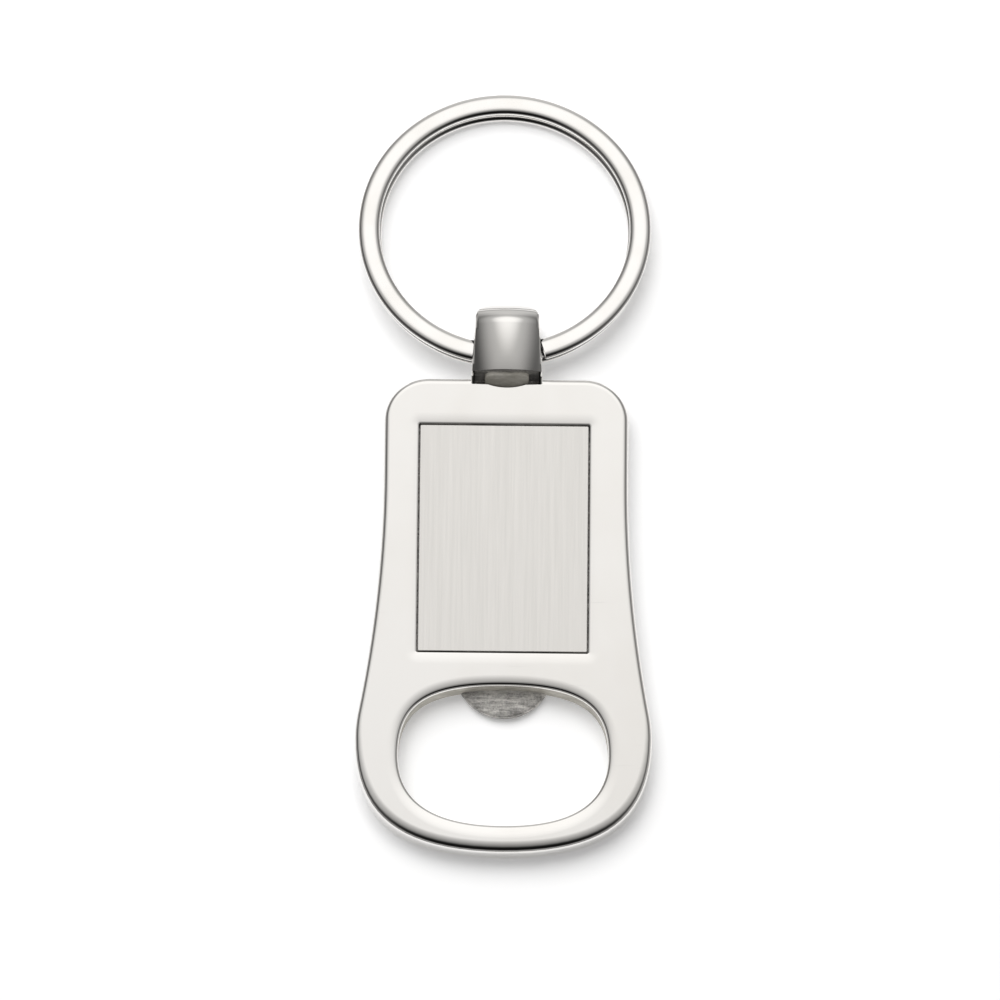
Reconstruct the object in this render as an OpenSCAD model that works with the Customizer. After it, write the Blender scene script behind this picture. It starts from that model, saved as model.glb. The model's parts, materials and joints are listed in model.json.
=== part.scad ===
// Keychain bottle opener: a cast body with a ring hood, an inlaid engraving plate and a split ring.
// Millimetres. The back of the body lies on z = 0, its length runs along Y with the ring at +Y,
// and the origin is the middle of the body's back face.

/* [Opener body] */
// Length of the flat body, without the hood
body_l = 54.7; // [45:0.1:70]
// Thickness of the flat body
body_t = 3; // [2.6:0.1:5]
// Width across the straight sides near the hood
top_w = 27; // [24:0.1:30]
// Width across the broadest line of the mouth end
max_w = 32.6; // [30:0.1:39]
// Distance of the broadest line from the mouth end
widest_up = 13; // [11.3:0.1:16]
// Distance from the hood end to where the sides start to flare
flare_from = 11.7; // [5:0.1:18]
// Radius of the shoulder where the flare meets the broadest line
shoulder_r = 16; // [8:0.5:30]
// Radius of the two corners at the hood end
corner_r = 4.9; // [1:0.1:6]
// Squareness of the mouth end: 2 is an ellipse
end_power = 2.5; // [2:0.1:3.5]

/* [Engraving plate] */
// Width of the inlaid plate
plate_w = 18.6; // [14:0.1:20]
// Length of the inlaid plate
plate_l = 26.2; // [18:0.1:27.5]
// Thickness of the inlaid plate
plate_t = 0.8; // [0.5:0.05:1.2]
// Distance from the hood end of the body to the plate
plate_from = 5.5; // [3.5:0.1:6]
// How far the plate sits to the right of the centre line
plate_side = -0.2; // [-0.4:0.05:0.4]
// Thickness of the adhesive film under the plate
film_t = 0.15; // [0.05:0.05:0.3]
// Gap round the plate in its recess
plate_gap = 0.12; // [0.05:0.01:0.3]
// How far the adhesive film stays back from the plate's edge
film_margin = 0.6; // [0.2:0.1:2]
// How far the plate lies below the body's face
plate_drop = 0.05; // [0:0.01:0.2]

/* [Bottle mouth] */
// Width of the mouth
mouth_w = 23; // [18:0.1:24.5]
// Length of the mouth
mouth_l = 16; // [13.5:0.1:17.5]
// Width of the rail across the end of the mouth
end_rail = 3.1; // [1.8:0.1:4]
// Squareness of the mouth on the side of the cap lug
mouth_top_power = 2.7; // [2:0.1:3.5]
// Squareness of the mouth on the side of the end rail
mouth_low_power = 2.4; // [2:0.1:3.5]
// Width of the cap lug where it meets the mouth
lug_w = 9.6; // [6:0.1:12]
// Reach of the cap lug into the mouth
lug_reach = 3.1; // [2:0.05:4]
// Depth of the cap lug below the body's face
lug_drop = 1.9; // [1.2:0.05:2.2]
// Chamfer along the cap lug's edge
lug_chamfer = 0.3; // [0.1:0.05:0.6]

/* [Ring hood] */
// Length of the hood past the body
hood_l = 8.2; // [7.5:0.1:10]
// Width of the hood at the body
hood_w = 7.9; // [7.4:0.1:10]
// Width of the hood at its far end
hood_top_w = 7.3; // [6.6:0.1:9]
// Radius of the arch across the hood's far end
hood_arch_r = 7.8; // [5:0.1:20]
// Radius of the rounding over the hood's far end
hood_nose_r = 1.8; // [0.4:0.05:2.2]
// Radius of the crowned front of the hood
hood_crown_r = 12; // [10:0.5:30]
// Thickness of the hood's front wall at the middle
hood_front_wall = 1; // [0.9:0.05:1.6]
// Thickness of the hood's back wall
hood_back_wall = 0.75; // [0.6:0.05:1.5]
// Distance of the ring's pivot from the body
pivot_from = 2.9; // [2.8:0.05:4.2]
// Clearance between the ring's wire and the tunnel as it swings
ring_clearance = 0.22; // [0.15:0.01:0.5]
// Play of the ring along the tunnel
ring_play = 1.3; // [0.5:0.1:2]
// Width of the pocket below the hood
pocket_w = 7.1; // [6:0.1:7.2]
// Depth of the scoop that the pocket cuts into the body
scoop = 1.1; // [0.4:0.05:1.5]
// Distance of the hood's front edge from the body
lintel_from = 0.15; // [0.1:0.05:0.5]
// Thickness of the floor and of the end wall of the pocket
pocket_wall = 0.35; // [0.3:0.05:0.6]
// Width of the saddle block in the pocket
saddle_w = 4.9; // [3.5:0.05:5.5]
// Height of the saddle block above the body's back
saddle_h = 3.6; // [3:0.1:4.6]
// Radius of the saddle block's top corners
saddle_r = 0.8; // [0.3:0.05:1.2]

/* [Split ring] */
// Outside diameter of the split ring
ring_od = 32.5; // [28:0.5:36]
// How far the ring rests to the right of the centre line
ring_side = -0.4; // [-0.6:0.1:0.6]
// Radial width of the flat wire
wire_w = 2.4; // [2:0.05:2.6]
// Thickness of the flat wire
wire_t = 0.93; // [0.8:0.01:1]
// Gap between the two turns
turn_gap = 0.04; // [0.02:0.01:0.1]
// Sideways offset of the back turn
turn_offset = 0.15; // [0:0.01:0.3]
// Chamfer on the wire's long edges
wire_chamfer = 0.22; // [0.05:0.01:0.3]
// Angle over which the wire steps from the front turn to the back turn
step_angle = 22; // [20:1:26]
// Angle from the hood's middle to the middle of the step
step_turn = 5; // [3:1:6]
// Angle left open between each cut end and the step
end_angle = 3; // [2:0.5:10]

/* [Hidden] */

eps = 0.01;                                   // overlap that keeps cuts clear of shared faces
top_y = body_l / 2;                           // hood end of the body
low_y = -body_l / 2;                          // mouth end of the body
widest_y = low_y + widest_up;
flare_y = top_y - flare_from;

// S-shaped flare: a concave arc from the straight side, then a convex shoulder arc
flare_d = (max_w - top_w) / 2;
flare_h = flare_y - widest_y;
flare_turn = 2 * atan2(flare_d, flare_h);
flare_r = flare_h / sin(flare_turn) - shoulder_r;

mouth_y = low_y + end_rail + mouth_l / 2;     // middle of the mouth
mouth_top_y = mouth_y + mouth_l / 2;
lug_r = (pow(lug_w / 2, 2) + pow(lug_reach, 2)) / (2 * lug_reach);
lug_t = body_t - lug_drop;

plate_y = top_y - plate_from - plate_l / 2;
recess_d = plate_t + film_t + plate_drop;

// The wire's section inside the hood, seen along the pivot: the ring curves within the hood's width
ring_r = ring_od / 2;
inner_r = ring_r - wire_w;
curve_rise = inner_r - sqrt(pow(inner_r, 2) - pow(hood_w / 2 + abs(ring_side), 2));
pack_w = wire_w + curve_rise + turn_offset;
pack_t = 2 * wire_t + turn_gap;
tunnel_r = norm([pack_w, pack_t]) / 2 + ring_clearance;
hood_t = hood_back_wall + 2 * tunnel_r + hood_front_wall;

pivot_y = top_y + pivot_from;
pivot_z = hood_back_wall + tunnel_r;
ring_reach = ring_r + turn_offset - pack_w / 2;   // ring's centre from the pivot
// The far side of the ring drops until it lies on the surface that the body lies on
far_reach = ring_reach + ring_r - turn_offset;
ring_tilt = asin(pivot_z / norm([far_reach, pack_t / 2])) - atan2(pack_t / 2, far_reach);

pocket_end = pivot_from - tunnel_r - pocket_wall; // end of the pocket, from the body
saddle_from = min(0.15, pocket_end - 0.3);

function arc(cx, cy, r, from, to, steps) =
    [for (i = [0 : steps]) let (a = from + (to - from) * i / steps) [cx + r * cos(a), cy + r * sin(a)]];

// A quarter of a superellipse from its side to its end, with cosine spacing
function quarter(a, b, power, steps) =
    [for (i = [0 : steps]) let (t = 90 * i / steps)
        [a * pow(cos(t), 2 / power), b * pow(sin(t), 2 / power)]];

function mirrored(points) = [for (i = [len(points) - 1 : -1 : 0]) [-points[i].x, points[i].y]];

// Right side of the body from the hood end to the mouth end
body_side = concat(
    arc(top_w / 2 - corner_r, top_y - corner_r, corner_r, 90, 0, 8),
    arc(top_w / 2 + flare_r, flare_y, flare_r, 180, 180 + flare_turn, 10),
    arc(max_w / 2 - shoulder_r, widest_y, shoulder_r, flare_turn, 0, 4),
    [for (p = quarter(max_w / 2, widest_up, end_power, 24)) if (p.y > eps && p.x > eps) [p.x, widest_y - p.y]],
    [[0, low_y]]
);
body_points = concat(body_side, [for (p = mirrored(body_side)) if (p.x < -eps) p]);

function mouth_part(power, sign) =
    [for (p = quarter(mouth_w / 2, mouth_l / 2, power, 20)) [p.x, mouth_y + sign * p.y]];
mouth_right = concat(
    [for (p = mouth_part(mouth_low_power, -1)) if (p.y < mouth_y - eps && p.x > eps) p],
    [[0, mouth_y - mouth_l / 2]]
);
mouth_upper = concat(
    [[0, mouth_top_y]],
    [for (i = [19 : -1 : 0]) mouth_part(mouth_top_power, 1)[i]]
);
mouth_side = concat(mouth_upper, mouth_right);
mouth_points = concat(mouth_side, [for (p = mirrored(mouth_side)) if (p.x < -eps) p]);

module mouth_cut() {
    translate([0, 0, -1]) linear_extrude(body_t + 2) polygon(mouth_points);
}

// Half-round cap lug at the back of the mouth, chamfered along its edge
module cap_lug() {
    center_y = mouth_top_y - lug_reach + lug_r;
    intersection() {
        translate([0, center_y, 0]) union() {
            cylinder(r = lug_r, h = lug_t - lug_chamfer, $fn = 96);
            translate([0, 0, lug_t - lug_chamfer])
                cylinder(r1 = lug_r, r2 = lug_r - lug_chamfer, h = lug_chamfer, $fn = 96);
        }
        // Its root runs into the wall of the mouth on both sides
        translate([-lug_w / 2 - 1, mouth_top_y - lug_reach - 1, 0]) cube([lug_w + 2, lug_reach + 2.2, lug_t]);
    }
}

module hood_outline() {
    intersection() {
        polygon([
            [-hood_w / 2, top_y - 1], [hood_w / 2, top_y - 1],
            [hood_top_w / 2, top_y + hood_l], [-hood_top_w / 2, top_y + hood_l]
        ]);
        translate([0, top_y + hood_l - hood_arch_r]) circle(r = hood_arch_r, $fn = 96);
    }
}

// Side view of the hood, from its root in the body to its rounded far end
module hood_profile() {
    far = top_y + hood_l - hood_nose_r;
    polygon([
        [top_y - 1, 0], [far, 0], [far, hood_t], [top_y + lintel_from, hood_t],
        [top_y, body_t], [top_y - 1, body_t]
    ]);
    translate([far - 1, hood_nose_r]) square([hood_nose_r + 1, hood_t - 2 * hood_nose_r]);
    for (z = [hood_nose_r, hood_t - hood_nose_r]) translate([far, z]) circle(r = hood_nose_r, $fn = 48);
}

// Turns a side view drawn in (Y, Z) into a solid across the hood
module across(width) {
    translate([-width / 2, 0, 0]) rotate([90, 0, 90]) linear_extrude(width) children();
}

module hood_solid() {
    intersection() {
        linear_extrude(hood_t) hood_outline();
        across(hood_w + 1) hood_profile();
        translate([0, top_y - 2, hood_t - hood_crown_r]) rotate([-90, 0, 0])
            cylinder(r = hood_crown_r, h = hood_l + 4, $fn = 128);
    }
}

// Passage for the ring: a slot with round ends, the lower one round the pivot
module tunnel() {
    across(hood_w + 2) union() {
        translate([pivot_y, pivot_z]) circle(r = tunnel_r, $fn = 64);
        translate([pivot_y + ring_play, pivot_z]) circle(r = tunnel_r, $fn = 64);
        translate([pivot_y, pivot_z - tunnel_r]) square([ring_play, 2 * tunnel_r]);
    }
}

// Pocket between the hood's front edge and the scooped edge of the body
module pocket() {
    scoop_r = (pow(pocket_w / 2, 2) + pow(scoop, 2)) / (2 * scoop);
    intersection() {
        translate([0, top_y - scoop + scoop_r, hood_back_wall]) cylinder(r = scoop_r, h = hood_t, $fn = 96);
        translate([-pocket_w / 2, top_y - scoop - 1, 0])
            cube([pocket_w, scoop + 1 + lintel_from, hood_t + 1]);
    }
    translate([-pocket_w / 2, top_y, hood_back_wall])
        cube([pocket_w, pocket_end, hood_t - hood_front_wall - hood_back_wall]);
}

// Rounded block that the ring's wire bears on, between the pocket and the tunnel
module saddle() {
    h = saddle_h - hood_back_wall / 2;
    translate([0, top_y + pocket_end + eps, hood_back_wall / 2]) rotate([90, 0, 0])
        linear_extrude(pocket_end - saddle_from + eps) union() {
            translate([-saddle_w / 2, 0]) square([saddle_w, h - saddle_r]);
            translate([-saddle_w / 2 + saddle_r, 0]) square([saddle_w - 2 * saddle_r, h]);
            for (side = [-1, 1]) translate([side * (saddle_w / 2 - saddle_r), h - saddle_r])
                circle(r = saddle_r, $fn = 48);
        }
}

module plate_recess() {
    w = plate_w + 2 * plate_gap;
    l = plate_l + 2 * plate_gap;
    translate([plate_side - w / 2, plate_y - l / 2, body_t - recess_d]) cube([w, l, recess_d + 1]);
}

module opener_body() {
    color("silver") {
        difference() {
            union() {
                linear_extrude(body_t) polygon(body_points);
                hood_solid();
            }
            mouth_cut();
            plate_recess();
            tunnel();
            pocket();
        }
        saddle();
        cap_lug();
    }
}

module engraving_plate() {
    color("gainsboro") translate([plate_side - plate_w / 2, plate_y - plate_l / 2, body_t - plate_drop - plate_t])
        cube([plate_w, plate_l, plate_t]);
}

module plate_adhesive() {
    w = plate_w - 2 * film_margin;
    l = plate_l - 2 * film_margin;
    color("wheat") translate([plate_side - w / 2, plate_y - l / 2, body_t - recess_d]) cube([w, l, film_t]);
}

// Chamfered section of the flat wire, as [radial, height] offsets from its middle
function wire_section() = let (w = wire_w / 2, t = wire_t / 2, c = wire_chamfer) [
    [w - c, -t], [w, -t + c], [w, t - c], [w - c, t], [-w + c, t], [-w, t - c], [-w, -t + c], [-w + c, -t]
];

// 0 on the front turn and 1 on the back turn, with a smooth step between them
function step_at(a, from) = let (s = min(1, max(0, (a - from) / step_angle))) s * s * (3 - 2 * s);

// Two turns of one wire: front turn, step down inside the hood, back turn
module split_ring_flat() {
    step_from = 270 + step_turn - step_angle / 2;
    first = step_from + step_angle + end_angle - 360;
    last = step_from - end_angle + 360;
    steps = 144;
    section = wire_section();
    n = len(section);
    points = [
        for (i = [0 : steps]) let (a = first + (last - first) * i / steps, s = step_at(a, step_from))
        for (p = section) let (r = ring_r - wire_w / 2 + p[0]) [
            r * cos(a),
            r * sin(a) - turn_offset * s,
            p[1] + (0.5 - s) * (wire_t + turn_gap)
        ]
    ];
    sides = [for (i = [0 : steps - 1], j = [0 : n - 1])
        let (k = (j + 1) % n) [i * n + j, i * n + k, (i + 1) * n + k, (i + 1) * n + j]];
    caps = [[for (j = [n - 1 : -1 : 0]) j], [for (j = [0 : n - 1]) steps * n + j]];
    polyhedron(points, concat(sides, caps), convexity = 10);
}

module split_ring() {
    color("lightgray") translate([0, pivot_y, pivot_z]) rotate([-ring_tilt, 0, 0])
        translate([ring_side, ring_reach, 0]) split_ring_flat();
}

opener_body();
engraving_plate();
plate_adhesive();
split_ring();
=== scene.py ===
import json
from math import atan2, copysign, cos, degrees, hypot, pi, radians, sin, sqrt, tan

import bmesh
import bpy
from mathutils import Matrix, Vector, noise

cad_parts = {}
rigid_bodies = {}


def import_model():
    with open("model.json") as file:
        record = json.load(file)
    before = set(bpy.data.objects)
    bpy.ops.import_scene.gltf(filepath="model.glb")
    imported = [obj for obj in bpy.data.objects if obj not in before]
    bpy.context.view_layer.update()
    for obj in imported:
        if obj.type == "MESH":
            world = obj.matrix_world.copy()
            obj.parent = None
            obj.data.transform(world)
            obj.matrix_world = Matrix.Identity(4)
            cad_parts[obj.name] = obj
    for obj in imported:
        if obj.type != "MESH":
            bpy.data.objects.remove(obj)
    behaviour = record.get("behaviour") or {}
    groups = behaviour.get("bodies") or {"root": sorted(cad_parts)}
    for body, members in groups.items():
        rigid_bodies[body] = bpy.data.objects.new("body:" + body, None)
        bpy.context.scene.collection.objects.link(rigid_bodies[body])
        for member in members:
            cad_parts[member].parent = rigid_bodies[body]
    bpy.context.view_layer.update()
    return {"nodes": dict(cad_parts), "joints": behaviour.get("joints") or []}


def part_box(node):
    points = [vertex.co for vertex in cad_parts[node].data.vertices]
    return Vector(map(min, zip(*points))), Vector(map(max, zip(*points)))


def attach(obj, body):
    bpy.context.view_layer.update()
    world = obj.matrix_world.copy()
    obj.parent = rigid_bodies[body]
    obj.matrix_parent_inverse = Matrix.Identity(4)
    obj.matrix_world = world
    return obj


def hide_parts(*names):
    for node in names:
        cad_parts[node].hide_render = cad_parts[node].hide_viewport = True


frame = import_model()
mm = 0.001
scene = bpy.context.scene

viewpoint = {
    "elevation": 71.5,           # degrees above the table
    "roll": 0.58,                # degrees, so the opener leans a little to the right
    "distance": 1.4,             # metres
    "frameWidth": 110.4 * mm,    # width seen at the table
    "target": (-0.62 * mm, 14.16 * mm, 0),
    "sensor": 36,
}


def makeCamera(spec):
    lean = radians(90 - spec["elevation"])
    target = Vector(spec["target"])
    back = Vector((0, -sin(lean), cos(lean)))
    data = bpy.data.cameras.new("camera")
    data.sensor_width = spec["sensor"]
    data.lens = spec["sensor"] * spec["distance"] / spec["frameWidth"]
    data.clip_start = 0.01
    data.clip_end = 20
    camera = bpy.data.objects.new("camera", data)
    scene.collection.objects.link(camera)
    turn = Matrix.Rotation(lean, 4, "X") @ Matrix.Rotation(radians(spec["roll"]), 4, "Z")
    camera.matrix_world = Matrix.Translation(target + back * spec["distance"]) @ turn
    scene.camera = camera


makeCamera(viewpoint)
print("camera ready")


class Socket:
    # one output of a node tree; arithmetic on it adds Math nodes
    def __init__(self, tree, link=None):
        self.tree = tree
        self.link = link

    def plug(self, target, value):
        if isinstance(value, Socket):
            self.tree.links.new(value.link, target)
        else:
            target.default_value = value

    def node(self, kind, settings=None, sockets=None, out=0):
        made = self.tree.nodes.new("ShaderNode" + kind)
        for name, value in (settings or {}).items():
            setattr(made, name, value)
        for name, value in (sockets or {}).items():
            self.plug(made.inputs[name], value)
        return Socket(self.tree, made.outputs[out])

    def math(self, operation, first, second):
        return self.node("Math", {"operation": operation}, {0: first, 1: second})

    def __add__(self, other):
        return self.math("ADD", self, other)

    def __radd__(self, other):
        return self.math("ADD", other, self)

    def __sub__(self, other):
        return self.math("SUBTRACT", self, other)

    def __rsub__(self, other):
        return self.math("SUBTRACT", other, self)

    def __mul__(self, other):
        return self.math("MULTIPLY", self, other)

    def __rmul__(self, other):
        return self.math("MULTIPLY", other, self)

    def __pow__(self, other):
        return self.math("POWER", self, other)


def smooth(value, low, high, toLow=0.0, toHigh=1.0):
    return value.node(
        "MapRange", {"interpolation_type": "SMOOTHSTEP"},
        {"Value": value, "From Min": low, "From Max": high, "To Min": toLow, "To Max": toHigh})


def blendColours(factor, first, second):
    return factor.node(
        "Mix", {"data_type": "RGBA"}, {"Factor": factor, 6: first, 7: second}, out=2)


def stretched(place, scale, turn=0.0, shift=(0, 0, 0)):
    # object coordinates in metres, scaled per axis after a turn about Z
    return place.node(
        "Mapping", {}, {"Vector": place, "Scale": scale, "Rotation": (0, 0, turn), "Location": shift})


def grain(place, scale, detail=2.0, roughness=0.5):
    return place.node(
        "TexNoise", {}, {"Vector": place, "Scale": scale, "Detail": detail, "Roughness": roughness})


def newMaterial(name):
    material = bpy.data.materials.new(name)
    material.use_nodes = True
    tree = material.node_tree
    tree.nodes.clear()
    start = Socket(tree)
    place = start.node("TexCoord", out=3)
    return material, start, place


def finishMaterial(material, start, sockets):
    shader = start.node("BsdfPrincipled", {}, sockets)
    output = start.tree.nodes.new("ShaderNodeOutputMaterial")
    start.tree.links.new(shader.link, output.inputs["Surface"])
    return material


platingLook = {
    "bright": (0.862, 0.850, 0.832, 1),
    "warm": (0.835, 0.818, 0.792, 1),
    "roughness": 0.055,
    "haze": 0.035,           # extra roughness in the cloudier spots
    "scratchDepth": 0.002,   # beside the ripple
    "ripple": 0.10,          # soft waves of the casting
}


def fineScratches(place, turn, along, across, amount, shift):
    # thin lines that run along one direction and break up here and there
    lines = grain(stretched(place, (along, across, across * 0.2), turn, shift), 1.0, 3.0, 0.6)
    patches = grain(stretched(place, (160, 160, 160), 0, shift), 1.0, 1.0)
    return smooth(lines, 0.66, 0.74) * smooth(patches, 0.48, 0.62) * amount


def platedCasting(look):
    material, start, place = newMaterial("plated_casting")
    clouds = grain(stretched(place, (90, 60, 90)), 1.0, 3.0, 0.55)
    dust = grain(place, 1400, 3.0, 0.6)
    scratches = (fineScratches(place, 0.35, 120, 5200, 1.0, (0.1, 0.2, 0))
                 + fineScratches(place, -0.9, 90, 4300, 0.8, (0.7, 0.3, 0))
                 + fineScratches(place, 1.45, 70, 6100, 0.7, (0.4, 0.9, 0)))
    colour = blendColours(smooth(clouds, 0.35, 0.75), look["bright"], look["warm"])
    roughness = (look["roughness"] + smooth(clouds, 0.45, 0.8) * look["haze"]
                 + dust * 0.02 + scratches * 0.12)
    waves = grain(stretched(place, (110, 70, 110)), 1.0, 1.0, 0.4)
    height = waves * look["ripple"] - scratches * look["scratchDepth"]
    normal = start.node("Bump", {}, {"Strength": 0.35, "Distance": 0.0004, "Height": height})
    return finishMaterial(material, start, {
        "Base Color": colour, "Metallic": 1.0, "Roughness": roughness, "Normal": normal})


castAndGapShadeLook = {
    "high": (0.62, 0.60, 0.57, 1),
    "low": (0.20, 0.195, 0.185, 1),
}


# rough casting for the lug and the hood's hollows; the same dark finish is also laid on the recess walls and
# the plate's sides as painted shade
def roughCastAndGapShade(look):
    material, start, place = newMaterial("rough_casting_and_gap_shade")
    ridges = grain(stretched(place, (420, 2600, 900)), 1.0, 5.0, 0.62)
    grit = grain(place, 5200, 4.0, 0.65)
    spots = grain(place, 800, 3.0, 0.6)
    height = ridges * 0.65 + grit * 0.35
    colour = blendColours(smooth(height + spots * 0.25, 0.48, 0.78), look["low"], look["high"])
    normal = start.node("Bump", {}, {"Strength": 0.9, "Distance": 0.00012, "Height": height})
    return finishMaterial(material, start, {
        "Base Color": colour, "Metallic": 0.6, "Roughness": 0.34 + grit * 0.2, "Normal": normal})


pocketLook = {
    "high": (0.60, 0.575, 0.52, 1),
    "low": (0.44, 0.42, 0.37, 1),
}


def pocketCasting(look):
    # the unpolished block inside the hood, with only a thin flash of plating
    material, start, place = newMaterial("pocket_casting")
    grit = grain(place, 2600, 4.0, 0.6)
    clouds = grain(stretched(place, (500, 500, 900)), 1.0, 3.0, 0.6)
    colour = blendColours(smooth(clouds + grit * 0.3, 0.5, 0.85), look["low"], look["high"])
    normal = start.node("Bump", {}, {
        "Strength": 0.5, "Distance": 0.00006, "Height": grit * 0.5 + clouds * 0.5})
    return finishMaterial(material, start, {
        "Base Color": colour, "Metallic": 0.35, "Roughness": 0.42 + grit * 0.15, "Normal": normal})


satinLook = {
    "bright": (0.88, 0.862, 0.836, 1),
    "dull": (0.86, 0.844, 0.816, 1),
    "roughness": 0.18,
}


def satinPlate(look):
    material, start, place = newMaterial("satin_plate")
    streaks = grain(stretched(place, (3800, 85, 200)), 1.0, 4.0, 0.6)
    hairs = grain(stretched(place, (11000, 160, 300)), 1.0, 2.0, 0.5)
    bands = grain(stretched(place, (520, 40, 100)), 1.0, 2.0, 0.5)
    clouds = grain(place, 70, 2.0, 0.5)
    tone = streaks * 0.5 + bands * 0.3 + clouds * 0.2
    colour = blendColours(smooth(tone, 0.3, 0.7), look["bright"], look["dull"])
    normal = start.node("Bump", {}, {
        "Strength": 0.13, "Distance": 0.00003, "Height": streaks * 0.6 + hairs * 0.4})
    return finishMaterial(material, start, {
        "Base Color": colour, "Metallic": 1.0,
        "Roughness": look["roughness"] + streaks * 0.08 + hairs * 0.04, "Normal": normal})


wireLook = {
    "bright": (0.872, 0.858, 0.842, 1),
    "warm": (0.84, 0.825, 0.80, 1),
    "roughness": 0.06,
}


def platedWire(look, centreY):
    material, start, place = newMaterial("plated_wire")
    split = start.tree.nodes.new("ShaderNodeSeparateXYZ")
    start.plug(split.inputs[0], place)
    x, y, z = (Socket(start.tree, socket) for socket in split.outputs)
    fromCentre = y - centreY
    radius = (x * x + fromCentre * fromCentre) ** 0.5
    angle = x.node("Math", {"operation": "ARCTAN2"}, {0: fromCentre, 1: x})
    wound = start.node("CombineXYZ", {}, {"X": radius * 5200, "Y": angle * 1.6, "Z": z * 5200})
    drawn = grain(wound, 1.0, 3.0, 0.6)
    clouds = grain(place, 260, 3.0, 0.5)
    colour = blendColours(smooth(clouds, 0.35, 0.75), look["bright"], look["warm"])
    normal = start.node("Bump", {}, {"Strength": 0.12, "Distance": 0.00002, "Height": drawn})
    return finishMaterial(material, start, {
        "Base Color": colour, "Metallic": 1.0,
        "Roughness": look["roughness"] + drawn * 0.05 + smooth(clouds, 0.5, 0.8) * 0.03,
        "Normal": normal})


def adhesiveFilm():
    material, start, place = newMaterial("adhesive_film")
    threads = grain(place, 3000, 3.0, 0.6)
    clouds = grain(place, 200, 2.0, 0.5)
    colour = blendColours(clouds, (0.62, 0.56, 0.44, 1), (0.50, 0.44, 0.34, 1))
    normal = start.node("Bump", {}, {"Strength": 0.5, "Distance": 0.00002, "Height": threads})
    return finishMaterial(material, start, {
        "Base Color": colour, "Metallic": 0.0, "Roughness": 0.55 + threads * 0.15, "Normal": normal})


def tableTop():
    material, start, place = newMaterial("table_top")
    clouds = grain(place, 9, 2.0, 0.5)
    colour = blendColours(clouds, (0.93, 0.93, 0.93, 1), (0.915, 0.915, 0.92, 1))
    normal = start.node("Bump", {}, {
        "Strength": 0.05, "Distance": 0.0001, "Height": grain(place, 900, 2.0)})
    return finishMaterial(material, start, {
        "Base Color": colour, "Metallic": 0.0, "Roughness": 0.9, "Normal": normal,
        "Specular IOR Level": 0.0, "Emission Color": (1, 1, 1, 1), "Emission Strength": 0.24})


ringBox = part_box("split_ring")
ringCentreY = (ringBox[0].y + ringBox[1].y) / 2
finishes = {
    "plating": platedCasting(platingLook),
    "casting_and_gap_shade": roughCastAndGapShade(castAndGapShadeLook),
    "pocket": pocketCasting(pocketLook),
    "satin": satinPlate(satinLook),
    "wire": platedWire(wireLook, ringCentreY),
    "film": adhesiveFilm(),
    "table": tableTop(),
}
castingFinishes = [finishes["plating"], finishes["casting_and_gap_shade"], finishes["pocket"]]
polished, asCastOrGapShade, inPocket = range(3)     # their places in that list
print("finishes ready:", ", ".join(finishes))


def addOutline(bm, points, steps=16, upright=None):
    # a closed smooth outline from (x, y, direction, handle before, handle after), in millimetres
    curve = bpy.data.curves.new("outline", "CURVE")
    curve.dimensions = "3D"
    curve.resolution_u = steps
    spline = curve.splines.new("BEZIER")
    spline.bezier_points.add(len(points) - 1)
    for bezier, (x, y, heading, before, after) in zip(spline.bezier_points, points):
        place = Vector((x, y, 0)) * mm
        along = Vector((heading[0], heading[1], 0)).normalized() * mm
        bezier.co = place
        bezier.handle_left = place - along * before
        bezier.handle_right = place + along * after
    spline.use_cyclic_u = True
    holder = bpy.data.objects.new("outline", curve)
    mesh = bpy.data.meshes.new_from_object(holder)
    if upright:
        mesh.transform(upright)
    known = set(bm.edges)
    bm.from_mesh(mesh)
    bpy.data.objects.remove(holder)
    bpy.data.curves.remove(curve)
    bpy.data.meshes.remove(mesh)
    return [edge for edge in bm.edges if edge not in known]


def mirroredHalf(half):
    # a right half that runs from the top to a point on the axis, closed with its mirror image
    back = [(-x, y, (d[0], -d[1]), after, before) for x, y, d, before, after in reversed(half) if x > 0]
    return half + back


def vertsOf(edges):
    return list({vert for edge in edges for vert in edge.verts})


def rimProfile(rim, level, sign, arcSteps=7, runSteps=5):
    # (inset, height) pairs from the wall to the face; rim is (tight radius, soft run-off, tilt between them)
    tight, run, tilt = rim
    tilt = radians(tilt)
    drop = run * tan(tilt) / 2
    pairs = []
    for i in range(arcSteps + 1):
        angle = pi / 2 + (tilt - pi / 2) * i / arcSteps
        pairs.append((tight * (1 - sin(angle)), level - sign * (drop + tight * (cos(tilt) - cos(angle)))))
    start = pairs[-1][0]
    for i in range(1, runSteps + 1):
        part = i / runSteps
        pairs.append((start + run * part, level - sign * drop * (1 - part) ** 2))
    return pairs


def wallSteps(low, high, lowRim, highRim, arcSteps=7, runSteps=5):
    # every step of a wall as a move sideways and a height, at a place on the outline
    def steps(place, outward):
        below = rimProfile(lowRim(place), low, -1, arcSteps, runSteps)
        above = rimProfile(highRim(place), high, 1, arcSteps, runSteps)
        return [(-outward * inset, height) for inset, height in below[::-1] + above]
    return steps


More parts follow.
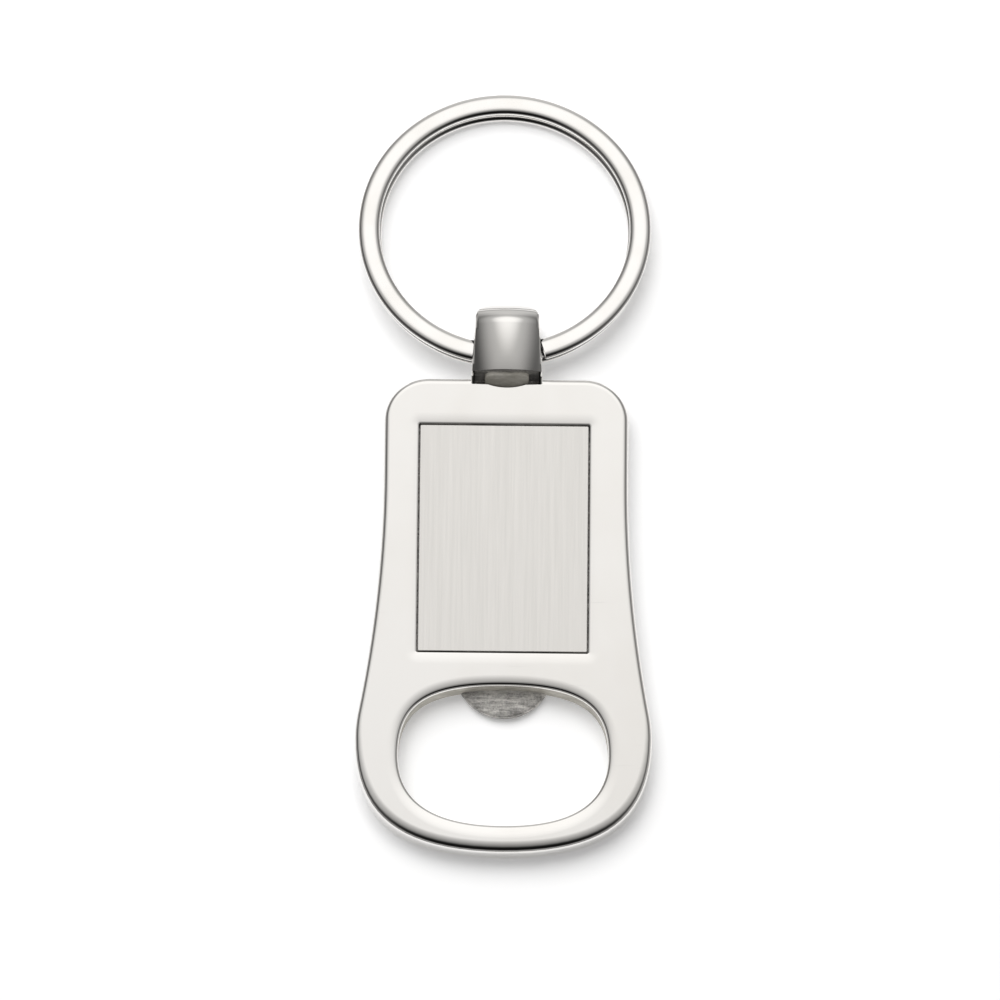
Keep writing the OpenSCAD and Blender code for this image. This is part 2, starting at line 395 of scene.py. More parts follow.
def raiseWall(bm, edges, steps, hole=False):
    # extrudes an outline up into a wall, one loop per step; returns the lowest and the highest loop
    layers = bm.verts.layers.float_vector
    outward = layers.get("outward") or layers.new("outward")
    base = layers.get("base") or layers.new("base")
    verts = vertsOf(edges)
    ours = set(verts)
    centre = sum((vert.co for vert in verts), Vector()) / len(verts)
    for vert in verts:
        beside = [edge.other_vert(vert) for edge in vert.link_edges]
        before, after = [other.co for other in beside if other in ours]
        side = (after - before).cross(Vector((0, 0, 1))).normalized()
        if (side.dot(vert.co - centre) < 0) != hole:
            side.negate()
        vert[outward] = side
        vert[base] = vert.co
    lowest = edges
    count = len(steps(verts[0].co / mm, verts[0][outward]))
    for level in range(count):
        if level:
            made = bmesh.ops.extrude_edge_only(bm, edges=edges)["geom"]
            edges = [g for g in made if isinstance(g, bmesh.types.BMEdge) and g.is_boundary]
            verts = vertsOf(edges)
        for vert in verts:
            place = vert[base] / mm
            move, height = steps(place, vert[outward])[level]
            vert.co = Vector((place.x + move.x, place.y + move.y, height)) * mm
    return lowest, edges


def capOff(bm, edges):
    return bmesh.ops.triangle_fill(bm, use_beauty=True, use_dissolve=False, edges=edges)


def shrinkCap(bm, edges, rings, keep=0.04):
    # closes a loop with smaller and smaller copies of itself, so the cap can be shaped
    verts = vertsOf(edges)
    centre = sum((vert.co for vert in verts), Vector()) / len(verts)
    factor = 1.0
    for ring in range(1, rings + 1):
        target = 1 - (1 - keep) * ring / rings
        made = bmesh.ops.extrude_edge_only(bm, edges=edges)["geom"]
        edges = [g for g in made if isinstance(g, bmesh.types.BMEdge) and g.is_boundary]
        for vert in vertsOf(edges):
            vert.co = centre + (vert.co - centre) * (target / factor)
        factor = target
    bmesh.ops.contextual_create(bm, geom=edges)


def extrudeFlat(bm, edges, direction):
    # closes an outline and extrudes it along a direction
    faces = bmesh.ops.contextual_create(bm, geom=edges)["faces"]
    made = bmesh.ops.extrude_face_region(bm, geom=faces, use_keep_orig=True)["geom"]
    moving = [g for g in made if isinstance(g, bmesh.types.BMVert)]
    bmesh.ops.translate(bm, verts=moving, vec=direction)


def addBlock(bm, size, middle):
    bmesh.ops.create_cube(bm, size=1)
    bmesh.ops.scale(bm, verts=bm.verts, vec=size)
    bmesh.ops.translate(bm, verts=bm.verts, vec=middle)


def newPiece(name, bm, materials, materialIndex=0):
    bmesh.ops.remove_doubles(bm, verts=bm.verts, dist=1e-7)
    bmesh.ops.recalc_face_normals(bm, faces=bm.faces)
    for face in bm.faces:
        if face.material_index == 0:
            face.material_index = materialIndex
    mesh = bpy.data.meshes.new(name)
    bm.to_mesh(mesh)
    bm.free()
    for material in materials:
        mesh.materials.append(material)
    piece = bpy.data.objects.new(name, mesh)
    scene.collection.objects.link(piece)
    return piece


def combine(target, tool, operation):
    modifier = target.modifiers.new("combine", "BOOLEAN")
    modifier.operation = operation
    modifier.object = tool
    modifier.solver = "MANIFOLD"
    modifier.material_mode = "INDEX"
    bakeModifiers(target)
    mesh = tool.data
    bpy.data.objects.remove(tool)
    bpy.data.meshes.remove(mesh)


def bakeModifiers(piece):
    bpy.context.view_layer.update()
    evaluated = piece.evaluated_get(bpy.context.evaluated_depsgraph_get())
    mesh = bpy.data.meshes.new_from_object(evaluated)
    old = piece.data
    piece.modifiers.clear()
    piece.data = mesh
    bpy.data.meshes.remove(old)
    mesh.name = piece.name


def weighNormals(piece, sharp):
    # smooth shading with crisp corners; larger faces keep their own direction
    mesh = piece.data
    mesh.shade_smooth()
    mesh.set_sharp_from_angle(angle=radians(sharp))
    modifier = piece.modifiers.new("weights", "WEIGHTED_NORMAL")
    modifier.mode = "FACE_AREA"
    modifier.weight = 90
    modifier.keep_sharp = True
    bakeModifiers(piece)


def levelNormals(piece, sharp):
    # smooth shading with crisp corners; the level faces stay perfectly flat up to their rims
    mesh = piece.data
    mesh.shade_smooth()
    mesh.set_sharp_from_angle(angle=radians(sharp))
    level = {}
    for face in mesh.polygons:
        if abs(face.normal.z) > 0.999999:
            for index in face.vertices:
                level.setdefault(index, []).append(Vector((0, 0, round(face.normal.z))))
    normals = [corner.vector.copy() for corner in mesh.corner_normals]
    for loop in mesh.loops:
        for up in level.get(loop.vertex_index, []):
            if normals[loop.index].dot(up) > cos(radians(sharp)):
                normals[loop.index] = up
    mesh.normals_split_custom_set(normals)


bodyShape = {     # millimetres
    "hoodLength": 8.2, "thickness": 3, "topWidth": 27, "widestUp": 13, "flareFrom": 11.7,
    "shoulderRadius": 16, "cornerRadius": 4.9, "endPower": 2.5,
    "mouthWidth": 23, "mouthLength": 16, "endRail": 3.1, "mouthTopPower": 2.7, "mouthLowPower": 2.4,
    "castWall": 0.9,         # how far below the face the polish ends on the mouth's wall
    "recessGap": 0.17, "recessCorner": 0.2,
    "recessRim": (0.03, 1.3, 2.6),     # as the rims below
}
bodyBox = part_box("opener_body")
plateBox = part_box("engraving_plate")
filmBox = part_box("plate_adhesive")
lowY = bodyBox[0].y / mm
topY = bodyBox[1].y / mm - bodyShape["hoodLength"]
maxWidth = 2 * bodyBox[1].x / mm
mouthY = lowY + bodyShape["endRail"] + bodyShape["mouthLength"] / 2
mouthTopY = mouthY + bodyShape["mouthLength"] / 2
sideView = Matrix(((0, 0, 1, 0), (1, 0, 0, 0), (0, 1, 0, 0), (0, 0, 0, 1)))     # drawn in Y and Z
endView = Matrix(((1, 0, 0, 0), (0, 0, -1, 0), (0, 1, 0, 0), (0, 0, 0, 1)))     # drawn in X and Z


def arcHandle(turn, radius):
    return 4 / 3 * tan(radians(turn) / 4) * radius


def ovalHandle(power):
    # handle length of a quarter superellipse, as a part of its half axis
    return (8 * 2 ** (-1 / power) - 4) / 3


def bodyOutline(shape):
    half, wide = shape["topWidth"] / 2, maxWidth / 2
    corner, shoulder = shape["cornerRadius"], shape["shoulderRadius"]
    widestY, flareY = lowY + shape["widestUp"], topY - shape["flareFrom"]
    turn = 2 * atan2(wide - half, flareY - widestY)
    flare = (flareY - widestY) / sin(turn) - shoulder
    k = ovalHandle(shape["endPower"])
    down = (0, -1)
    return mirroredHalf([
        (half - corner, topY, (1, 0), 0, arcHandle(90, corner)),
        (half, topY - corner, down, arcHandle(90, corner), 0),
        (half, flareY, down, 0, arcHandle(degrees(turn), flare)),
        (half + flare * (1 - cos(turn)), flareY - flare * sin(turn), (sin(turn), -cos(turn)),
         arcHandle(degrees(turn), flare), arcHandle(degrees(turn), shoulder)),
        (wide, widestY, down, arcHandle(degrees(turn), shoulder), k * shape["widestUp"]),
        (0, lowY, (-1, 0), k * wide, k * wide),
    ])


def mouthOutline(shape):
    half, reach = shape["mouthWidth"] / 2, shape["mouthLength"] / 2
    middle = lowY + shape["endRail"] + reach
    top, low = ovalHandle(shape["mouthTopPower"]), ovalHandle(shape["mouthLowPower"])
    return mirroredHalf([
        (half, middle, (0, -1), top * reach, low * reach),
        (0, middle - reach, (-1, 0), low * half, low * half),
    ])[:3] + [(0, middle + reach, (1, 0), top * half, top * half)]


def eased(value, low, high):
    part = min(1, max(0, (value - low) / (high - low)))
    return part * part * (3 - 2 * part)


# each rim is (tight radius, length of the soft run-off, tilt where they meet) at a place on the outline
def outerRim(place):
    toEnd = eased(-place.y, 8, 26)
    return 0.5 + 0.08 * toEnd, 0.32 + 0.5 * toEnd, 7 + 2 * toEnd


def mouthRim(place):
    toEnd = eased(mouthY - place.y, 0, 8)
    return 0.36, 0.92 + 0.33 * toEnd, 5.2 + toEnd


def backRim(place):
    return 0.5, 0.2, 5


def roundedRectangle(x0, x1, y0, y1, radius):
    k = arcHandle(90, radius)
    return [
        (x1 - radius, y1, (1, 0), 0, k), (x1, y1 - radius, (0, -1), k, 0),
        (x1, y0 + radius, (0, -1), 0, k), (x1 - radius, y0, (-1, 0), k, 0),
        (x0 + radius, y0, (-1, 0), 0, k), (x0, y0 + radius, (0, 1), k, 0),
        (x0, y1 - radius, (0, 1), 0, k), (x0 + radius, y1, (1, 0), k, 0),
    ]


def makeBody(shape):
    bm = bmesh.new()
    thick, gap = shape["thickness"], shape["recessGap"]
    outer = addOutline(bm, bodyOutline(shape), steps=20)
    mouth = addOutline(bm, mouthOutline(shape), steps=36)
    low, high = plateBox[0] / mm, plateBox[1] / mm
    recess = addOutline(bm, roundedRectangle(
        low.x - gap, high.x + gap, low.y - gap, high.y + gap, shape["recessCorner"]), steps=8)
    outerLow, outerHigh = raiseWall(bm, outer, wallSteps(0, thick, backRim, outerRim))
    mouthLow, mouthHigh = raiseWall(bm, mouth, wallSteps(0, thick, backRim, mouthRim), hole=True)

    def recessSteps(place, outward):
        # polishing has rolled the face a little towards the recess
        rim = [(0, filmBox[0].z / mm)] + rimProfile(shape["recessRim"], thick, 1, arcSteps=3, runSteps=7)
        return [(-outward * inset, height) for inset, height in rim]

    recessLow, recessHigh = raiseWall(bm, recess, recessSteps, hole=True)
    capOff(bm, outerHigh + mouthHigh + recessHigh)
    capOff(bm, outerLow + mouthLow)
    bmesh.ops.contextual_create(bm, geom=recessLow)
    return newPiece("opener_body_cast", bm, castingFinishes)


body = makeBody(bodyShape)
print("body blank:", len(body.data.polygons), "faces")

hoodShape = {     # millimetres
    "width": 7.9, "topWidth": 7.3, "archRadius": 7.8, "cornerRadius": 1.7, "sunk": 0.9,
    "overhang": 1.05,        # how far the crossing blocks stand out past its sides
    "crownRadius": 10.3, "domeRadius": 50, "domeFrom": 5.2,
    "edgeSlope": 0.4, "edgeHeight": 1.3, "edgeRound": 0.1,
    "rootRound": 0.45, "rootLap": 0.75, "lintelFrom": 0.15,
    "noseHeight": 2.2, "noseLength": 2.6, "backRound": 1.2,
    "backWall": 0.75, "frontWall": 1.0, "pivotFrom": 2.9, "ringPlay": 1.3,
    "pocketWidth": 7.1, "scoop": 1.1, "pocketWall": 0.35, "pocketLap": 0.4,
    "saddleWidth": 4.9, "saddleRadius": 0.8, "saddleFrom": 0.15, "saddleHeight": 3.6,
    "saddleRamp": 0.28,      # how far its foot runs out per height
}
hoodTop = bodyBox[1].z / mm
tunnelRadius = (hoodTop - hoodShape["backWall"] - hoodShape["frontWall"]) / 2
pivotY = topY + hoodShape["pivotFrom"]
pivotZ = hoodShape["backWall"] + tunnelRadius
pocketEnd = hoodShape["pivotFrom"] - tunnelRadius - hoodShape["pocketWall"]


def hoodOutline(shape):
    half, far = shape["width"] / 2, shape["topWidth"] / 2
    endY = topY + bodyShape["hoodLength"]
    radius, corner = shape["archRadius"], shape["cornerRadius"]
    archX = far - corner * 0.75
    archY = endY - radius + sqrt(radius ** 2 - archX ** 2)
    halfArc = degrees(atan2(archX, sqrt(radius ** 2 - archX ** 2)))
    return mirroredHalf([
        (archX, archY, (archY - endY + radius, -archX), arcHandle(2 * halfArc, radius), corner * 0.5),
        (far, archY - corner, (far - half, -5), corner * 0.5, 0),
        (half, topY + 0.2, (0, -1), 0, 0),
        (half, topY - shape["sunk"], (0, -1), 0, 0),
    ])


def cutGrid(bm, step):
    # cuts everything along a square grid, so that flat stretches can be bent
    low = [min(vert.co[axis] for vert in bm.verts) for axis in (0, 1)]
    high = [max(vert.co[axis] for vert in bm.verts) for axis in (0, 1)]
    for axis in (0, 1):
        count = int((high[axis] - low[axis]) / step)
        for i in range(1, count):
            place, normal = Vector(), Vector()
            place[axis] = low[axis] + (high[axis] - low[axis]) * i / count
            normal[axis] = 1
            bmesh.ops.bisect_plane(bm, geom=bm.verts[:] + bm.edges[:] + bm.faces[:], dist=1e-7,
                                   plane_co=place, plane_no=normal)


def cutOff(bm, place, normal):
    # removes what lies beyond a plane and closes the cut
    cut = bmesh.ops.bisect_plane(bm, geom=bm.verts[:] + bm.edges[:] + bm.faces[:], dist=1e-7,
                                 plane_co=place * mm, plane_no=normal, clear_outer=True)
    rim = [g for g in cut["geom_cut"] if isinstance(g, bmesh.types.BMEdge)]
    bmesh.ops.contextual_create(bm, geom=rim)


def hoodSideBlock(shape):
    # side view of the hood with its rounded far end, extruded across and crowned
    bm = bmesh.new()
    root, endY = topY - shape["sunk"], topY + bodyShape["hoodLength"]
    height, length, low = shape["noseHeight"], shape["noseLength"], shape["backRound"]
    tall, deep, lowHandle = arcHandle(90, height), arcHandle(90, length), arcHandle(90, low)
    reach = shape["width"] / 2 + shape["overhang"]
    edges = addOutline(bm, [
        (root, 0, (0, 1), 0, 0), (root, hoodTop, (1, 0), 0, 0),
        (endY - length, hoodTop, (1, 0), 0, deep), (endY, hoodTop - height, (0, -1), tall, 0),
        (endY, low, (0, -1), 0, lowHandle), (endY - low, 0, (-1, 0), lowHandle, 0),
    ], steps=14, upright=Matrix.Translation((-reach * mm, 0, 0)) @ sideView)
    extrudeFlat(bm, edges, Vector((2 * reach * mm, 0, 0)))
    cutGrid(bm, 0.3 * mm)
    crown, middle = shape["crownRadius"], topY + shape["domeFrom"]
    for vert in bm.verts:
        x, y, z = vert.co / mm
        drop = crown - sqrt(crown ** 2 - x * x) + (y - middle) ** 2 / (2 * shape["domeRadius"])
        vert.co.z -= drop * eased(z, 2.5, hoodTop - 0.6) * mm
    return newPiece("hood_side", bm, castingFinishes)


def makeHood(shape):
    bm = bmesh.new()
    edges = addOutline(bm, hoodOutline(shape), steps=14)
    slopeFrom = hoodTop - shape["edgeHeight"]

    def steps(place, outward):
        inset = Vector((outward.x, 0, 0)) * shape["edgeSlope"]
        return [(Vector(), -0.5), (Vector(), slopeFrom), (-inset, hoodTop), (-inset, hoodTop + 0.5)]

    low, high = raiseWall(bm, edges, steps)
    bmesh.ops.contextual_create(bm, geom=low)
    bmesh.ops.contextual_create(bm, geom=high)
    piece = newPiece("hood_blank", bm, castingFinishes)
    combine(piece, hoodSideBlock(shape), "INTERSECT")
    bm = bmesh.new()
    bm.from_mesh(piece.data)
    bmesh.ops.remove_doubles(bm, verts=bm.verts, dist=2e-6)
    rootY = (topY + 0.2) * mm
    crisp = [edge for edge in bm.edges if edge.calc_face_angle(0) > radians(35)
             and all(vert.co.y > rootY for vert in edge.verts)]
    bmesh.ops.bevel(bm, geom=crisp, affect="EDGES", offset=shape["edgeRound"] * mm, offset_type="OFFSET",
                    segments=3, profile=0.5, material=-1, clamp_overlap=True)
    # the steep slope from the body's face up to the hood's front
    thick = bodyShape["thickness"]
    slope = Vector((0, thick - hoodTop, shape["lintelFrom"])).normalized()
    cutOff(bm, Vector((0, topY, thick)), slope)
    # the two corners at the root are rounded off by a few planes
    turn = shape["rootRound"]
    for side in (-1, 1):
        for angle in (22.5, 45, 67.5):
            normal = Vector((side * sin(radians(angle)), -cos(radians(angle)), 0))
            centre = Vector((side * (shape["width"] / 2 - turn), topY + turn, 0))
            cutOff(bm, centre + normal * turn, normal)
    bmesh.ops.recalc_face_normals(bm, faces=bm.faces)
    bm.to_mesh(piece.data)
    bm.free()
    return piece


def rootBlock(shape):
    # fills the hood's rounded corners up to the body's face
    bm = bmesh.new()
    skin = 0.01     # keeps its faces just inside the body's
    height = bodyShape["thickness"] - 3 * skin
    length, lap = 2 * shape["rootLap"], shape["rootRound"] + 0.05
    middle = Vector((0, topY + lap - shape["rootLap"], height / 2 + skin))
    addBlock(bm, Vector((shape["width"] - 2 * skin, length, height)) * mm, middle * mm)
    return newPiece("root_block", bm, castingFinishes)


def slotCutter(shape):
    # passage for the ring, drawn in the side view and extruded across
    bm = bmesh.new()
    k = arcHandle(90, tunnelRadius)
    y0, y1, z, r = pivotY, pivotY + shape["ringPlay"], pivotZ, tunnelRadius
    reach = shape["width"] / 2 + shape["overhang"] + 1
    edges = addOutline(bm, [
        (y0, z + r, (1, 0), k, 0), (y1, z + r, (1, 0), 0, k), (y1 + r, z, (0, -1), k, k),
        (y1, z - r, (-1, 0), k, 0), (y0, z - r, (-1, 0), 0, k), (y0 - r, z, (0, 1), k, k),
    ], steps=14, upright=Matrix.Translation((-reach * mm, 0, 0)) @ sideView)
    extrudeFlat(bm, edges, Vector((2 * reach * mm, 0, 0)))
    return newPiece("slot_cutter", bm, castingFinishes)


def scoopCutter(shape):
    # round dip in the body's face in front of the hood
    half, rise = shape["pocketWidth"] / 2, shape["scoop"]
    radius = (half ** 2 + rise ** 2) / (2 * rise)
    lean = 2 * atan2(rise, half)
    k = arcHandle(degrees(lean), radius)
    front = topY + shape["lintelFrom"]
    bm = bmesh.new()
    edges = addOutline(bm, [
        (half, front, (0, -1), 0, 0), (half, topY, (-cos(lean), -sin(lean)), 0, k),
        (0, topY - rise, (-1, 0), k, k),
        (-half, topY, (-cos(lean), sin(lean)), k, 0), (-half, front, (1, 0), 0, 0),
    ], steps=14, upright=Matrix.Translation((0, 0, shape["backWall"] * mm)))
    extrudeFlat(bm, edges, Vector((0, 0, hoodTop * mm)))
    return newPiece("scoop_cutter", bm, castingFinishes, asCastOrGapShade)


def pocketCutter(shape):
    # hollow of the hood behind its front wall, up to the ring's passage
    front, back = topY - shape["pocketLap"], topY + pocketEnd
    low, high = shape["backWall"], hoodTop - shape["frontWall"]
    bm = bmesh.new()
    size = Vector((shape["pocketWidth"], back - front, high - low))
    addBlock(bm, size * mm, Vector((0, (front + back) / 2, (low + high) / 2)) * mm)
    return newPiece("pocket_cutter", bm, castingFinishes, asCastOrGapShade)


def makeSaddle(shape):
    # rounded block in the pocket that keeps the ring's wire from coming forward
    bm = bmesh.new()
    half, r = shape["saddleWidth"] / 2, shape["saddleRadius"]
    low, high = shape["backWall"] / 2, shape["saddleHeight"]
    k = arcHandle(90, r)
    frontY = (topY + shape["saddleFrom"]) * mm
    edges = addOutline(bm, [
        (half, low, (-1, 0), 0, 0), (-half, low, (0, 1), 0, 0), (-half, high - r, (0, 1), 0, k),
        (-half + r, high, (1, 0), k, 0), (half - r, high, (1, 0), 0, k), (half, high - r, (0, -1), k, 0),
    ], steps=8, upright=Matrix.Translation((0, frontY, 0)) @ endView)
    extrudeFlat(bm, edges, Vector((0, (pocketEnd - shape["saddleFrom"] + 0.2) * mm, 0)))
    # its front slopes out towards the mouth
    for vert in bm.verts:
        if abs(vert.co.y - frontY) < 1e-7:
            vert.co.y -= shape["saddleRamp"] * (shape["saddleHeight"] * mm - vert.co.z)
    rim = [edge for edge in bm.edges
           if all(v.co.y < frontY + 1e-7 and v.co.z > (low + 0.1) * mm for v in edge.verts)]
    bmesh.ops.bevel(bm, geom=rim, affect="EDGES", offset=0.14 * mm, offset_type="OFFSET", segments=3,
                    profile=0.5, material=-1, clamp_overlap=True)
    return newPiece("saddle_block", bm, castingFinishes, inPocket)


combine(body, makeHood(hoodShape), "UNION")
combine(body, rootBlock(hoodShape), "UNION")
for makeCutter in (slotCutter, scoopCutter, pocketCutter):
    combine(body, makeCutter(hoodShape), "DIFFERENCE")
combine(body, makeSaddle(hoodShape), "UNION")
print("hood joined:", len(body.data.polygons), "faces")

lugShape = {"width": 9.6, "reach": 3.1, "drop": 1.9, "rim": 0.3, "roughness": 0.05, "sunk": 0.9}


def lugRim(place):
    return lugShape["rim"], 0.15, 8


def lugBackRim(place):
    # the lug's underside recedes, except at its root
    return 0.15 + 0.4 * eased(mouthTopY - place.y, 0.1, 1), 0.05, 8


def makeLug(shape):
    radius = ((shape["width"] / 2) ** 2 + shape["reach"] ** 2) / (2 * shape["reach"])
    half, low = shape["width"] / 2, mouthTopY - shape["reach"]
    lean = 2 * atan2(shape["reach"], half)
    k = arcHandle(degrees(lean), radius)
    root = mouthTopY + shape["sunk"]
    bm = bmesh.new()
    edges = addOutline(bm, [
        (half, root, (0, -1), 0, 0), (half, mouthTopY, (-cos(lean), -sin(lean)), 0, k),
        (0, low, (-1, 0), k, k), (-half, mouthTopY, (-cos(lean), sin(lean)), k, 0),
        (-half, root, (1, 0), 0, 0),
    ], steps=26)
    thick = bodyShape["thickness"] - shape["drop"]
    lowEdges, high = raiseWall(bm, edges, wallSteps(0, thick, lugBackRim, lugRim, arcSteps=5, runSteps=2))
    capOff(bm, lowEdges)
    shrinkCap(bm, high, 22)
    for vert in bm.verts:
        x, y, z = vert.co / mm
        if z > thick - 0.35:
            place = Vector((x * 0.9, y * 5.5, 1.7))     # shallow waves, longer across than along
            wave = noise.noise(place) + 0.5 * noise.noise(place * 2.3) - 0.4
            vert.co.z += shape["roughness"] * wave * mm
    return newPiece("cap_lug", bm, castingFinishes, asCastOrGapShade)


combine(body, makeLug(lugShape), "UNION")


def finishBody(piece):
    mesh = piece.data
    bm = bmesh.new()
    bm.from_mesh(mesh)
    bmesh.ops.remove_doubles(bm, verts=bm.verts, dist=2e-7)
    bmesh.ops.dissolve_degenerate(bm, dist=1e-7, edges=bm.edges)
    # the mouth's wall is left as cast below the polished rim; the walls and floor of the recess get the dark
    # rough casting as painted shade for the gap round the plate
    wallTop = (bodyShape["thickness"] - bodyShape["castWall"]) * mm
    mouthSide, mouthEnd = bodyShape["mouthWidth"] / 2 * mm, (lowY + bodyShape["endRail"]) * mm
    low, high = plateBox
    near, margin, depth = 1e-5, 3e-4, 6e-4
    for face in bm.faces:
        middle = face.calc_center_median()
        upright = abs(face.normal.z) < 0.05
        inMouth = abs(middle.x) < mouthSide + near and mouthEnd - near < middle.y < mouthTopY * mm + near
        inRecess = abs(middle.x) < high.x + margin and low.y - margin < middle.y < high.y + margin
        if upright and inMouth and middle.z < wallTop and face.material_index == polished:
            face.material_index = inPocket
        # painted shade: the recess's walls and floor take the dark rough casting so the gap round the plate
        # reads dark
        if inRecess and middle.z < low.z + depth and (upright or face.normal.z > 0.9):
            face.material_index = asCastOrGapShade
    bm.to_mesh(mesh)
    bm.free()
    levelNormals(piece, 38)


finishBody(body)
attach(body, "opener")
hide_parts("opener_body")
print("opener body:", len(body.data.polygons), "faces")

plateShape = {"edge": 0.07, "corner": 0.16}     # millimetres


def makePlate(shape):
    low, high = plateBox
    bm = bmesh.new()
    addBlock(bm, high - low, (low + high) / 2)
    upright = [e for e in bm.edges if abs(e.verts[0].co.z - e.verts[1].co.z) > 1e-5]
    bmesh.ops.bevel(bm, geom=upright, affect="EDGES", offset=shape["corner"] * mm, offset_type="OFFSET",
                    segments=4, profile=0.5, material=-1)
    rim = [e for e in bm.edges if all(v.co.z > high.z - 1e-6 for v in e.verts)]
    bmesh.ops.bevel(bm, geom=rim, affect="EDGES", offset=shape["edge"] * mm, offset_type="OFFSET",
                    segments=3, profile=0.5, material=-1)
    # painted shade: the plate's sheared sides take the dark rough casting, partly their own dull edge,
    # partly so the gap round the plate reads dark
    for face in bm.faces:
        if abs(face.normal.z) < 0.3:
            face.material_index = 1     # sheared edges
    return newPiece("engraving_plate_satin", bm, [finishes["satin"], finishes["casting_and_gap_shade"]])


plate = makePlate(plateShape)
weighNormals(plate, 40)
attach(plate, "opener")
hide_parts("engraving_plate")
film = frame["nodes"]["plate_adhesive"]
film.data.materials.clear()
film.data.materials.append(finishes["film"])
print("plate laid in")

ringShape = {     # millimetres and degrees
    "outside": 32.5, "wireWidth": 2.4, "wireThickness": 0.93, "gap": 0.04, "offset": 0.15,
    "side": -0.4, "squareness": 3.0, "stepAngle": 22, "stepTurn": 5, "endAngle": 1, "tuck": 0.2,
    "turnSteps": 150, "stepSteps": 16,
}


def makeRing(shape):
    joint = next(j for j in frame["joints"] if j["child"] == "ring")
    pivot = Vector(joint["pos_m"])
    radius = shape["outside"] / 2
    width, thick = shape["wireWidth"], shape["wireThickness"]
    pitch = thick + shape["gap"]
    stepFrom = 270 + shape["stepTurn"] - shape["stepAngle"] / 2
    first = stepFrom + shape["stepAngle"] + shape["endAngle"] - 360
    last = stepFrom - shape["endAngle"] + 360
    bm = bmesh.new()
    # section of the wire, in the plane through the ring's axis
    bmesh.ops.create_circle(bm, cap_ends=False, segments=48, radius=1)
    for vert in bm.verts:
        x, y = vert.co.xy
        vert.co.x = copysign(abs(x) ** (2 / shape["squareness"]) * width / 2 * mm, x)
        vert.co.y = copysign(abs(y) ** (2 / shape["squareness"]) * thick / 2 * mm, y)
    bmesh.ops.rotate(bm, verts=bm.verts, cent=(0, 0, 0), matrix=Matrix.Rotation(pi / 2, 3, "X"))
    bmesh.ops.translate(bm, verts=bm.verts, vec=Vector((radius - width / 2, 0, pitch / 2)) * mm)
    bmesh.ops.rotate(bm, verts=bm.verts, cent=(0, 0, 0), matrix=Matrix.Rotation(radians(first), 3, "Z"))
    geometry = bm.verts[:] + bm.edges[:]
    # front turn, the step down, back turn
    shift = Vector((0, -shape["offset"], 0)) * mm
    stepMove = shift + Vector((0, shape["tuck"], -pitch)) * mm
    stages = [
        (stepFrom - first, shape["turnSteps"], Vector(), Vector()),
        (shape["stepAngle"], shape["stepSteps"], Vector(), stepMove / shape["stepSteps"]),
        (last - stepFrom - shape["stepAngle"], shape["turnSteps"], shift, Vector()),
    ]
    for angle, count, centre, drift in stages:
        made = bmesh.ops.spin(bm, geom=geometry, cent=centre, axis=(0, 0, 1), dvec=drift,
                              angle=radians(angle), steps=count, use_merge=False, use_duplicate=False)
        geometry = made["geom_last"]
    bmesh.ops.holes_fill(bm, edges=[e for e in bm.edges if e.is_boundary], sides=0)
    lean = Matrix.Rotation(-ringTilt(shape, pivot), 4, "X")
    centre = Vector((shape["side"], ringReach(shape), 0)) * mm
    place = Matrix.Translation(pivot) @ lean @ Matrix.Translation(centre)
    bmesh.ops.transform(bm, matrix=place, verts=bm.verts)
    return newPiece("split_ring_wound", bm, [finishes["wire"]])


def ringReach(shape):
    # from the pivot to the ring's centre, with the wire packed in the middle of the hood's slot
    inner = shape["outside"] / 2 - shape["wireWidth"]
    rise = inner - sqrt(inner ** 2 - (hoodShape["width"] / 2 + abs(shape["side"])) ** 2)
    return shape["outside"] / 2 + shape["offset"] - (shape["wireWidth"] + rise + shape["offset"]) / 2


def ringTilt(shape, pivot):
    # the far side lies on the table
    far = ringReach(shape) + shape["outside"] / 2 - shape["offset"]
    half = (2 * shape["wireThickness"] + shape["gap"]) / 2
    height = pivot.z / mm / hypot(far, half)
    return atan2(height, sqrt(1 - height ** 2)) - atan2(half, far)


ring = makeRing(ringShape)
weighNormals(ring, 50)
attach(ring, "ring")
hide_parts("split_ring")
print("split ring:", len(ring.data.polygons), "faces")

studio = {
    "tableSize": 6.0,          # metres
    "softboxLean": 30,         # degrees from straight up towards the far side
    "softbox": 0.55,
    "softboxCore": 0.56,
    "room": 0.07,
    "fill": 0.14,
    "farWall": 0.34,
    "lowerWalls": 0.26,
    "darkPatch": 0.92,
    "floorLight": 7.6,
    "castingLight": 4.3,
}


def makeTable(setup):
    bm = bmesh.new()
    bmesh.ops.create_circle(bm, cap_ends=True, segments=64, radius=setup["tableSize"])
    bmesh.ops.translate(bm, verts=bm.verts, vec=(0, 0, -0.00002))
    newPiece("table", bm, [finishes["table"]])


def lobe(direction, axis, edge, core, amount):
    # a soft round patch of light; edge and core are angles from its middle, in degrees
    axis = Vector(axis).normalized()
    spread = direction.node("VectorMath", {"operation": "DOT_PRODUCT"}, {0: direction, 1: axis}, out=1)
    return smooth(spread, cos(radians(edge)), cos(radians(core)), 0.0, amount)


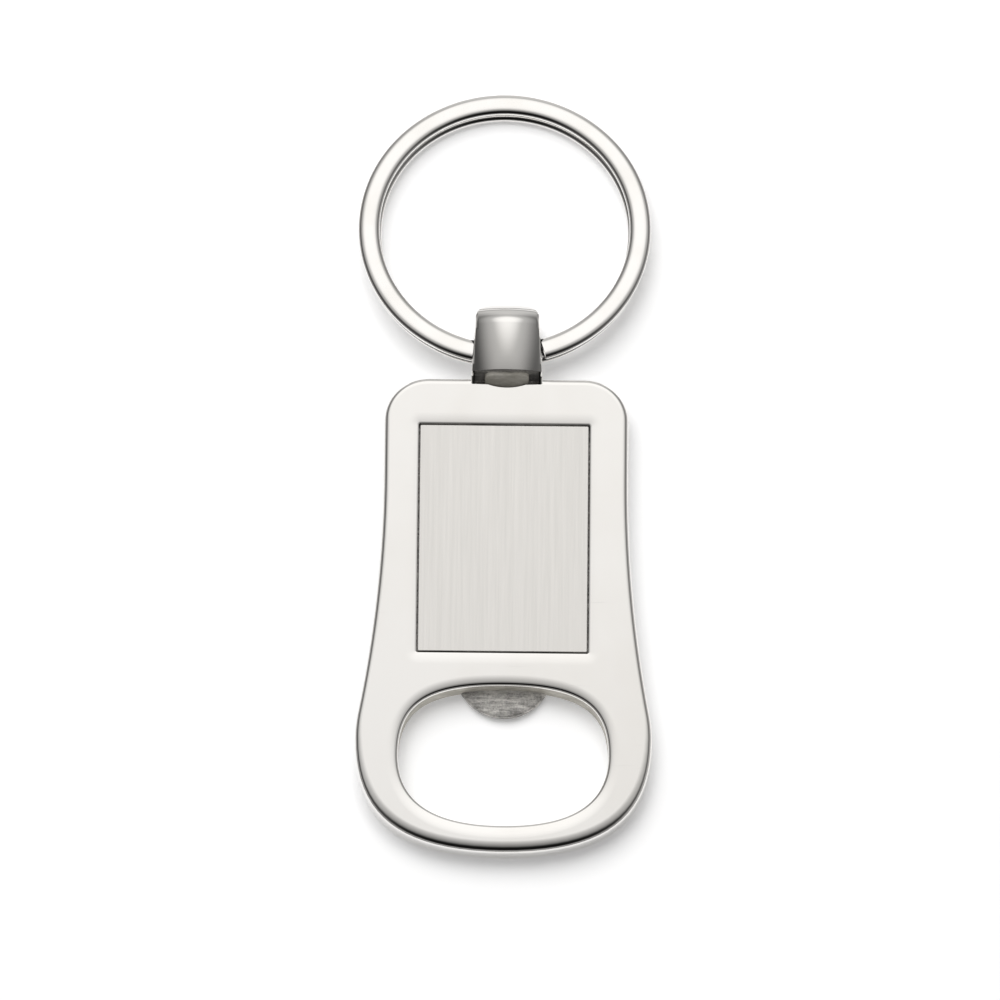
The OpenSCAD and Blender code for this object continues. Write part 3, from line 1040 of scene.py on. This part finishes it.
def lightRoom(setup):
    world = bpy.data.worlds.new("studio")
    scene.world = world
    world.use_nodes = True
    tree = world.node_tree
    tree.nodes.clear()
    start = Socket(tree)
    direction = start.node("TexCoord", out=0)
    lean = radians(setup["softboxLean"])
    towards = (0, sin(lean), cos(lean))
    light = setup["room"]
    for axis, edge, core, amount in [
        (towards, 40, 5, setup["softbox"]), (towards, 20, 0, setup["softboxCore"]),
        ((1, 0.1, 0.35), 45, 5, setup["fill"]), ((-1, 0.2, 0.25), 35, 5, setup["fill"] / 2),
        ((0, 1, 0.1), 38, 5, setup["farWall"]),
    ]:
        light = light + lobe(direction, axis, edge, core, amount)
    height = direction.node("SeparateXYZ", {}, {0: direction}, out=2)
    light = light + smooth(height, 0.62, 0.42) * smooth(height, 0.02, 0.2) * setup["lowerWalls"]
    # a dark patch towards the viewer gives the rims their dark bands
    unshaded = 1 - lobe(direction, (0, -0.42, 0.9), 38, 8, setup["darkPatch"])
    background = start.node("Background", {}, {"Color": (1, 0.99, 0.975, 1), "Strength": light * unshaded})
    output = tree.nodes.new("ShaderNodeOutputWorld")
    tree.links.new(background.link, output.inputs["Surface"])


def areaLight(name, place, target, size, power):
    data = bpy.data.lights.new(name, "AREA")
    data.shape = "SQUARE"
    data.size = size
    data.energy = power
    lamp = bpy.data.objects.new(name, data)
    scene.collection.objects.link(lamp)
    lamp.location = place
    lamp.rotation_euler = (Vector(target) - Vector(place)).to_track_quat("-Z", "Y").to_euler()
    lamp.visible_glossy = False
    lamp.visible_camera = False
    return lamp


makeTable(studio)
lightRoom(studio)
areaLight("overhead_softbox", (-0.2, 0.4, 0.8), (0, 0, 0), 0.9, studio["floorLight"])
castingLamp = areaLight("casting_fill", (0.05, -0.32, 0.8), (0, 0, 0), 0.4, studio["castingLight"])
lit = bpy.data.collections.new("lit_castings")     # only the opener's rough faces need this lamp
lit.objects.link(body)
castingLamp.light_linking.receiver_collection = lit
scene.view_settings.view_transform = "Standard"
print("table and light ready")
